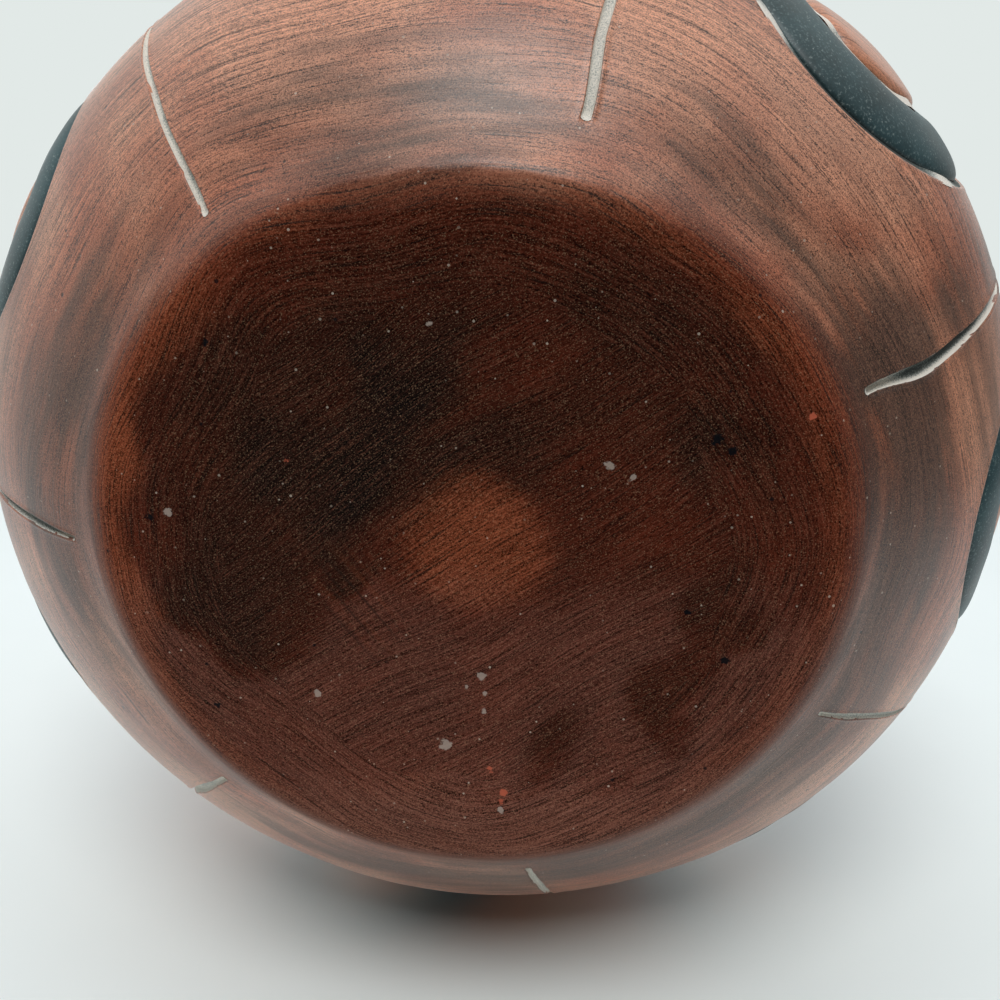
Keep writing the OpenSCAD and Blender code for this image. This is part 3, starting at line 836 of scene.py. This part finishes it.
def baseMesh():
    underRow, footRow, inRow = baseMarks["rows"]
    footStart = footRun - baseMarks["footWide"]
    outer = np.r_[0.15, np.arange(0.8, footStart, underRow), rowsFrom(footStart, footRun, footRow)]
    inner = rowsFrom(footRunIn, endRun - 1, inRow)
    turns = columnsAt(np.full(len(outer) + len(inner), footRun))
    runs = np.r_[outer, inner][:, None]
    flat = clayAt(turns, runs, 0.0)
    x, y = flat[..., 0], flat[..., 1]
    r = np.hypot(x, y)
    isUnder = (np.arange(len(runs)) < len(outer))[:, None]
    cx, cy, wide, long = baseMarks["scraped"]
    fields = dict(smokedBase(turns, x, y, r), run=np.broadcast_to(runs, x.shape), wash=washAndShadingAt(turns, runs),
                  under=np.where(isUnder, underAt(turns, runs), 0),
                  hatch=np.exp(-(((x - cx) / wide) ** 2 + ((y - cy) / long) ** 2) ** 2))
    dent = np.zeros_like(x)
    for key, deep in baseMarks["dents"].items():
        fields[key] = np.max([hump(np.hypot(x - cx, y - cy), size) for cx, cy, size in baseMarks[key]], axis=0)
        dent = dent - deep * fields[key]
    scrape = 0.05 * ripple(17, 1.9, r + 0.8 * ripple(18, 14, x, y)) * smooth(6, 14, r)
    hatch = 0.07 * ripple(19, 1.5, x * 0.94 + y * 0.34)
    hatch = hatch * np.exp(-(((x - cx) / (wide + 1)) ** 2 + ((y - cy) / (long + 1)) ** 2))
    form = np.where(isUnder, (dent + scrape + hatch) * smooth(1.5, 5, r) * (1 - smooth(54, 60, r)), 0)
    form = form + np.where(isUnder, handForm(turns, runs) + lineCut(turns, runs), 0)
    form = np.where(isUnder & (flat[..., 2] < 0.25), np.minimum(form, 0), form)  # nothing sinks into the table
    points = clayAt(turns, runs, form)
    cols = x.shape[1]
    faces = gridFaces(*x.shape).tolist()
    faces += [list(range(cols))[::-1], list(range(x.size - cols, x.size))]
    which = np.repeat(np.r_[np.zeros(len(outer)), np.ones(len(inner) - 1)], cols)
    piece = makePiece("basePadClay", points.reshape(-1, 3), faces, [wallClay, rawClay],
                      np.r_[which, 0, 1], fields)
    seat(piece, "smoked_terracotta", "base_pad")
    print("basePadClay", len(faces), "faces")


baseMesh()


# the medallions: black band, boss and two pale lines, all drawn as rings of points about the medallion's middle
spokes = 300
spokeTurn = np.linspace(0, 2 * math.pi, spokes, endpoint=False)
bandIn, bandOut = carving["bossR"] + carving["cut"], carving["medallionR"] - carving["cut"]
bedBottom = -1.28
ringLook = {
    "foot": -1.2, "bandWide": 1.03, "bandUneven": 0.07,
    "bossWide": 1.01, "bossShoulder": 0.84, "bossFall": 0.85,
    # pale lines: share of the way across, height in mm, and how much higher where white slip was kept
    "outerAt": (0, 0.25, 0.5, 0.75, 1), "outer": (-1.1, -1.18, -1.12, -0.9, -0.36),
    "outerKept": (0.5, 0.66, 0.78, 0.95, 0.5), "spill": 0.8,  # mm that kept slip spills over the edge
    "innerAt": (0, 0.5, 1), "inner": (-0.75, -1.02, -0.8), "innerKept": 0.6,
}


def discPiece(name, node, i, slip, slotName, sizes, heights, thin=None, fill=False):
    sizes = np.asarray(sizes, float)[::-1].reshape(len(sizes), -1) * np.ones((1, spokes))
    heights = np.broadcast_to(np.asarray(heights, float)[::-1].reshape(len(sizes), -1), sizes.shape)
    away = sizes * discShape(i, spokeTurn)
    theta, run = fromDisc(away * np.cos(spokeTurn), away * np.sin(spokeTurn), i)
    points = clayAt(theta, run, heights + handForm(theta, run))
    faces = gridFaces(len(sizes), spokes, closeRows=not fill)[:, ::-1].tolist()
    fields = {"run": run}
    if thin is not None:
        fields["thin"] = thin[::-1]
    if fill:
        faces += [list(range(spokes)), list(range(sizes.size - spokes, sizes.size))[::-1]]
    seat(makePiece(name, points.reshape(-1, 3), faces, [slip], None, fields), slotName, node)


def blackBand(i, look):
    t = np.linspace(-1, 1, 33)
    t = np.sign(t) * (1 - (1 - np.abs(t)) ** 1.6)  # closer rows where the band rolls over
    rise = ((1 - np.abs(t) ** 2.7) ** (1 / 2.3))[:, None]
    sizes = (bandIn + bandOut) / 2 + (bandOut - bandIn) / 2 * look["bandWide"] * t
    uneven = look["bandUneven"] * ripple(100 + i, 2.1, np.cos(spokeTurn) * 2, np.sin(spokeTurn) * 2)[None, :]
    heights = look["foot"] + (carving["bandRise"] - look["foot"]) * rise + uneven * rise
    heights = np.concatenate([heights, np.full((2, spokes), bedBottom)])
    discPiece(f"blackBand{i + 1}", f"black_band_{i + 1}", i, bandSlip, "black_slip",
              np.r_[sizes, bandOut, bandIn], heights)


def boss(i, look):
    edge = look["bossShoulder"]
    t = np.r_[np.linspace(0.02, 0.82, 22), np.linspace(edge, 1, 12)]
    dome = carving["bossRise"] * (1 - look["bossFall"] * t ** 2)
    fall = 1 - np.sqrt(np.clip(1 - (np.maximum(t - edge, 0) / (1 - edge)) ** 2.2, 0, 1))
    heights = np.r_[dome + (look["foot"] - dome) * fall, bedBottom]
    sizes = np.r_[carving["bossR"] * look["bossWide"] * t, carving["bossR"]]
    discPiece(f"boss{i + 1}", f"boss_{i + 1}", i, bossClay, "terracotta", sizes, heights, fill=True)


def paleRings(i, look):
    patchy = 0.2 * ripple(120 + i, 1.6, np.cos(spokeTurn) * 2, np.sin(spokeTurn) * 2)[None, :]
    degrees = np.degrees(spokeTurn)
    kept = np.max([nearTurn(degrees, turn, wide) for turn, wide in medallionHand[i]["white"]], axis=0)
    t = np.linspace(0, 1, 9)[:, None]
    heights, higher = [np.interp(t, look["outerAt"], look[key]) for key in ("outer", "outerKept")]
    heights = heights + kept * higher
    sizes = bandOut + 0.05 + (carving["cut"] - 0.22) * t + look["spill"] * kept * t
    # the outer line darkens next to the band and away from the kept slip: worn slip and painted shade in the
    # groove
    discPiece(f"outerLine{i + 1}", f"white_outer_line_{i + 1}", i, lineSlip, "white_slip", sizes, heights,
              thin=0.3 * (1 - t) + 0.72 - 1.1 * kept + patchy)
    # the inner line darkens along its middle and away from the kept slip: worn slip and painted shade in the
    # groove
    heights = np.interp(t, look["innerAt"], look["inner"]) + look["innerKept"] * kept
    sizes = carving["bossR"] - 0.1 + (carving["cut"] + 0.2) * t
    discPiece(f"innerLine{i + 1}", f"white_inner_line_{i + 1}", i, lineSlip, "white_slip", sizes, heights,
              thin=0.4 * (1 - np.abs(t - 0.5) * 2) + 0.1 + 2 * patchy[:, ::-1] - 0.6 * kept)


for i in range(carving["count"]):
    for shape in (blackBand, boss, paleRings):
        shape(i, ringLook)
print("medallions set")


stemLook = {
    "row": 0.35, "columns": 13, "fill": 0.93, "lift": 0.05, "sink": 0.03,
    "shadeCoreFade": (32, 55), "faded": 0.75,  # mm up the line where its painted shade fades, and how far
}


def stemLine(i, look):  # the pale line that fills cut line i
    hand = lineHand[i]
    runs = rowsFrom(lineLow[i] - 0.1, lineHigh + 0.1, look["row"])[:, None]
    t = np.linspace(-1, 1, look["columns"])[None, :]
    half = np.maximum(lineHalf(i, runs), 0.03)
    across = t * (half * 0.985)
    theta = i * step + lean(i, runs) + np.degrees(across / radiusAt(runs))
    deep = -lineDepth(i, runs) * lineBed(across / half)
    form = handForm(theta, runs)
    points = clayAt(theta, runs, form + deep * look["fill"] + look["lift"])
    below = clayAt(theta[:, ::-1], runs, form[:, ::-1] + deep[:, ::-1] - look["sink"])
    ring = np.concatenate([points, below], axis=1)
    past = runs - lineLow[i]
    # bare holds the painted shade in the bottom of the cut: how dark the core grows, fading up the line
    bare = hand["shadeCore"] * smooth(hand["bare"], hand["bare"] + 6.5, past)
    bare = bare * (1 - look["faded"] * smooth(*look["shadeCoreFade"], past))
    bare = bare * (0.9 + 0.15 * ripple(160 + i, 16, runs))
    thin = bare * (1 - np.abs(t + hand["side"]) ** 2.2)
    thin = np.concatenate([thin, thin[:, ::-1]], axis=1)
    faces = gridFaces(len(runs), ring.shape[1]).tolist()
    fields = {"run": np.broadcast_to(runs, ring.shape[:2]), "thin": thin}
    piece = makePiece(f"stemLine{i + 1}", ring.reshape(-1, 3), faces, [lineSlip], None, fields)
    seat(piece, "white_slip", f"white_stem_line_{i + 1}")


for i in range(carving["count"]):
    stemLine(i, stemLook)
print("lines filled")


# the camera looks up at the base of the pot, which lies on its side on a pale table
view = {
    "place": (0.03727, -0.05176, -0.14200),
    "right": (0.91766, 0.39230, 0.06320), "up": (0.34819, -0.87053, 0.34776),
    "ahead": (-0.19144, 0.29712, 0.93545),
    "tableTilt": 20.4,  # degrees that the camera looks down on the table
}
right, up, ahead = [Vector(view[k]).normalized() for k in ("right", "up", "ahead")]
cameraData = bpy.data.cameras.new("camera")
cameraData.sensor_width, cameraData.lens = 36.0, 36.0
cameraData.clip_start, cameraData.clip_end = 0.005, 50.0
camera = bpy.data.objects.new("camera", cameraData)
camera.matrix_world = Matrix((
    (right.x, up.x, -ahead.x, view["place"][0]), (right.y, up.y, -ahead.y, view["place"][1]),
    (right.z, up.z, -ahead.z, view["place"][2]), (0, 0, 0, 1)))
scene.collection.objects.link(camera)
scene.camera = camera

stageLook = {
    "card": "#e9f0ee", "sheetR": 0.6, "fadeFrom": 0.26, "fadeTo": 0.55, "fibre": 30, "backdrop": "#e2e9e7",
    "air": "#f6faff", "dome": 1.2, "domeLean": 0.5, "domeEdge": (0.36, 0.56),  # light from above the table
    "room": 0.55, "least": 0.003,  # light from behind the table, and from elsewhere
    "dimSide": (0.94, 0.33, 0.05), "dimMost": 0.85,  # the side of the room that reflects darker
}
lamps = (  # way from the pot, distance and size in metres, watts, colour
    ("keySoftbox", (0.365, -0.8, -0.475), 1.0, 0.5, 4.4, "#fffefc"),
    ("upperSoftbox", (-0.42, -0.05, 0.9), 1.1, 0.8, 5.0, "#fffefc"),
    ("backSoftbox", (-0.42, 0.5, 0.78), 1.1, 0.8, 5.0, "#f6fbff"))


def paleCard(name, look):
    # A sheet of pale card: matt and even, seen from its upper side only, fading into the backdrop.
    material, tree = newMaterial(name)
    place = addNode(tree, "TexCoord", give="Object")
    far = addNode(tree, "VectorMath", {"operation": "LENGTH"}, {0: place}, "Value")
    fade = addNode(tree, "MapRange", {"interpolation_type": "SMOOTHSTEP"},
                   {"Value": far, "From Min": look["fadeFrom"], "From Max": look["fadeTo"]})
    behind = addNode(tree, "NewGeometry", give="Backfacing")
    gone = addNode(tree, "Math", {"operation": "MAXIMUM"}, {0: fade, 1: behind})
    fibre = addNode(tree, "TexNoise", None, {"Vector": place, "Scale": 1000 / look["fibre"], "Detail": 2})
    tint = addNode(tree, "MapRange", None, {"Value": fibre, "To Min": 0.985, "To Max": 1.015})
    colour = addNode(tree, "VectorMath", {"operation": "SCALE"}, {0: linear(look["card"])[:3], "Scale": tint})
    card = addNode(tree, "BsdfDiffuse", None, {"Color": colour})
    clear = addNode(tree, "BsdfTransparent")
    mixed = addNode(tree, "MixShader", None, {0: gone, 1: card, 2: clear})
    addNode(tree, "OutputMaterial", None, {"Surface": mixed})
    return material


def addStage(name, place, upward, lights, look):
    sides = 96
    turns = np.linspace(0, 2 * math.pi, sides, endpoint=False)
    rim = [(look["sheetR"] * math.cos(a), look["sheetR"] * math.sin(a), 0) for a in turns]
    mesh = bpy.data.meshes.new(name)
    mesh.from_pydata(rim, [], [list(range(sides))])
    sheet = bpy.data.objects.new(name, mesh)
    sheet.matrix_world = Matrix.Translation(place) @ upward.to_track_quat("Z", "Y").to_matrix().to_4x4()
    mesh.materials.append(paleCard(name + "Card", look))
    scene.collection.objects.link(sheet)
    sheet.visible_diffuse = sheet.visible_glossy = lights  # whether it throws light back on the pot
    sheet.visible_transmission = sheet.visible_shadow = False


tilt = math.radians(view["tableTilt"])
tableUp = (up * math.cos(tilt) - ahead * math.sin(tilt)).normalized()
restRun = sectionRun[sectionRun < lipRunIn]
ringAt = clayAt(np.arange(0, 360, 2.0)[None, :], restRun[:, None], 0.3).reshape(-1, 3) * mm
lowest = ringAt[np.argmin(ringAt @ np.array(tableUp))]
addStage("floor", Vector((0, 0, -0.0003)), Vector((0, 0, 1)), False, stageLook)
addStage("table", Vector(lowest), tableUp, True, stageLook)

potMid = Vector((0, 0, 0.06))
for name, way, distance, size, power, colour in lamps:
    data = bpy.data.lights.new(name, "AREA")
    data.shape, data.size, data.energy, data.color = "DISK", size, power, linear(colour)[:3]
    lamp = bpy.data.objects.new(name, data)
    way = Vector(way).normalized()
    turned = way.to_track_quat("Z", "Y").to_matrix().to_4x4()
    lamp.matrix_world = Matrix.Translation(potMid + way * distance) @ turned
    lamp.visible_camera = False
    scene.collection.objects.link(lamp)


def paleRoom(look):
    # the room is bright above the table and above the pot, and dark on the viewer's side
    world = bpy.data.worlds.new("paleRoom")
    scene.world = world
    world.use_nodes = True
    tree = world.node_tree
    tree.nodes.clear()
    path = addNode(tree, "LightPath").node
    room = {key: path.outputs[ray] for key, ray in (
        ("camera", "Is Camera Ray"), ("through", "Is Transmission Ray"), ("glossy", "Is Glossy Ray"))}
    way = addNode(tree, "TexCoord", give="Generated")
    domeUp = (tableUp + Vector((0, 0, look["domeLean"]))).normalized()
    for key, axis in (("overTable", tableUp), ("overPot", (0, 0, 1)),
                      ("toSide", look["dimSide"]), ("overDome", domeUp)):
        room[key] = addNode(tree, "VectorMath", {"operation": "DOT_PRODUCT"}, {0: way, 1: tuple(axis)}, "Value")
    for key, source, low, high, least, most in (
            ("dome", "overDome", *look["domeEdge"], 0, look["dome"]),
            ("viewer", "overPot", -0.78, -0.25, 0, 1),
            ("behind", "overTable", -0.05, -0.3, look["least"], look["room"]),
            ("above", "overPot", -0.5, 0.4, 0.3, 1),
            ("glossRise", "overPot", -0.85, -0.1, 0.03, 1),
            ("dim", "toSide", 0.6, 0.95, 1, 1 - look["dimMost"])):
        room[key] = addNode(tree, "MapRange", {"interpolation_type": "SMOOTHSTEP"}, {
            "Value": room[source], "From Min": low, "From Max": high, "To Min": least, "To Max": most})
    for key, kind, *parts in (
            ("dome", "MULTIPLY", "dome", "viewer"), ("fill", "MULTIPLY_ADD", "behind", "above", "dome"),
            ("gloss", "MULTIPLY", "glossRise", "dim"), ("bare", "MAXIMUM", "camera", "through"),
            ("seen", "MAXIMUM", "bare", "glossy"), ("shown", "MAXIMUM", "bare", "gloss")):
        room[key] = addNode(tree, "Math", {"operation": kind}, {k: room[part] for k, part in enumerate(parts)})
    fill = addNode(tree, "Background", None, {"Color": linear(look["air"]), "Strength": room["fill"]})
    backdrop = addNode(tree, "Background", None, {"Color": linear(look["backdrop"]), "Strength": room["shown"]})
    mixed = addNode(tree, "MixShader", None, {0: room["seen"], 1: fill, 2: backdrop})
    addNode(tree, "OutputWorld", None, {"Surface": mixed})


paleRoom(stageLook)
print("stage lit")
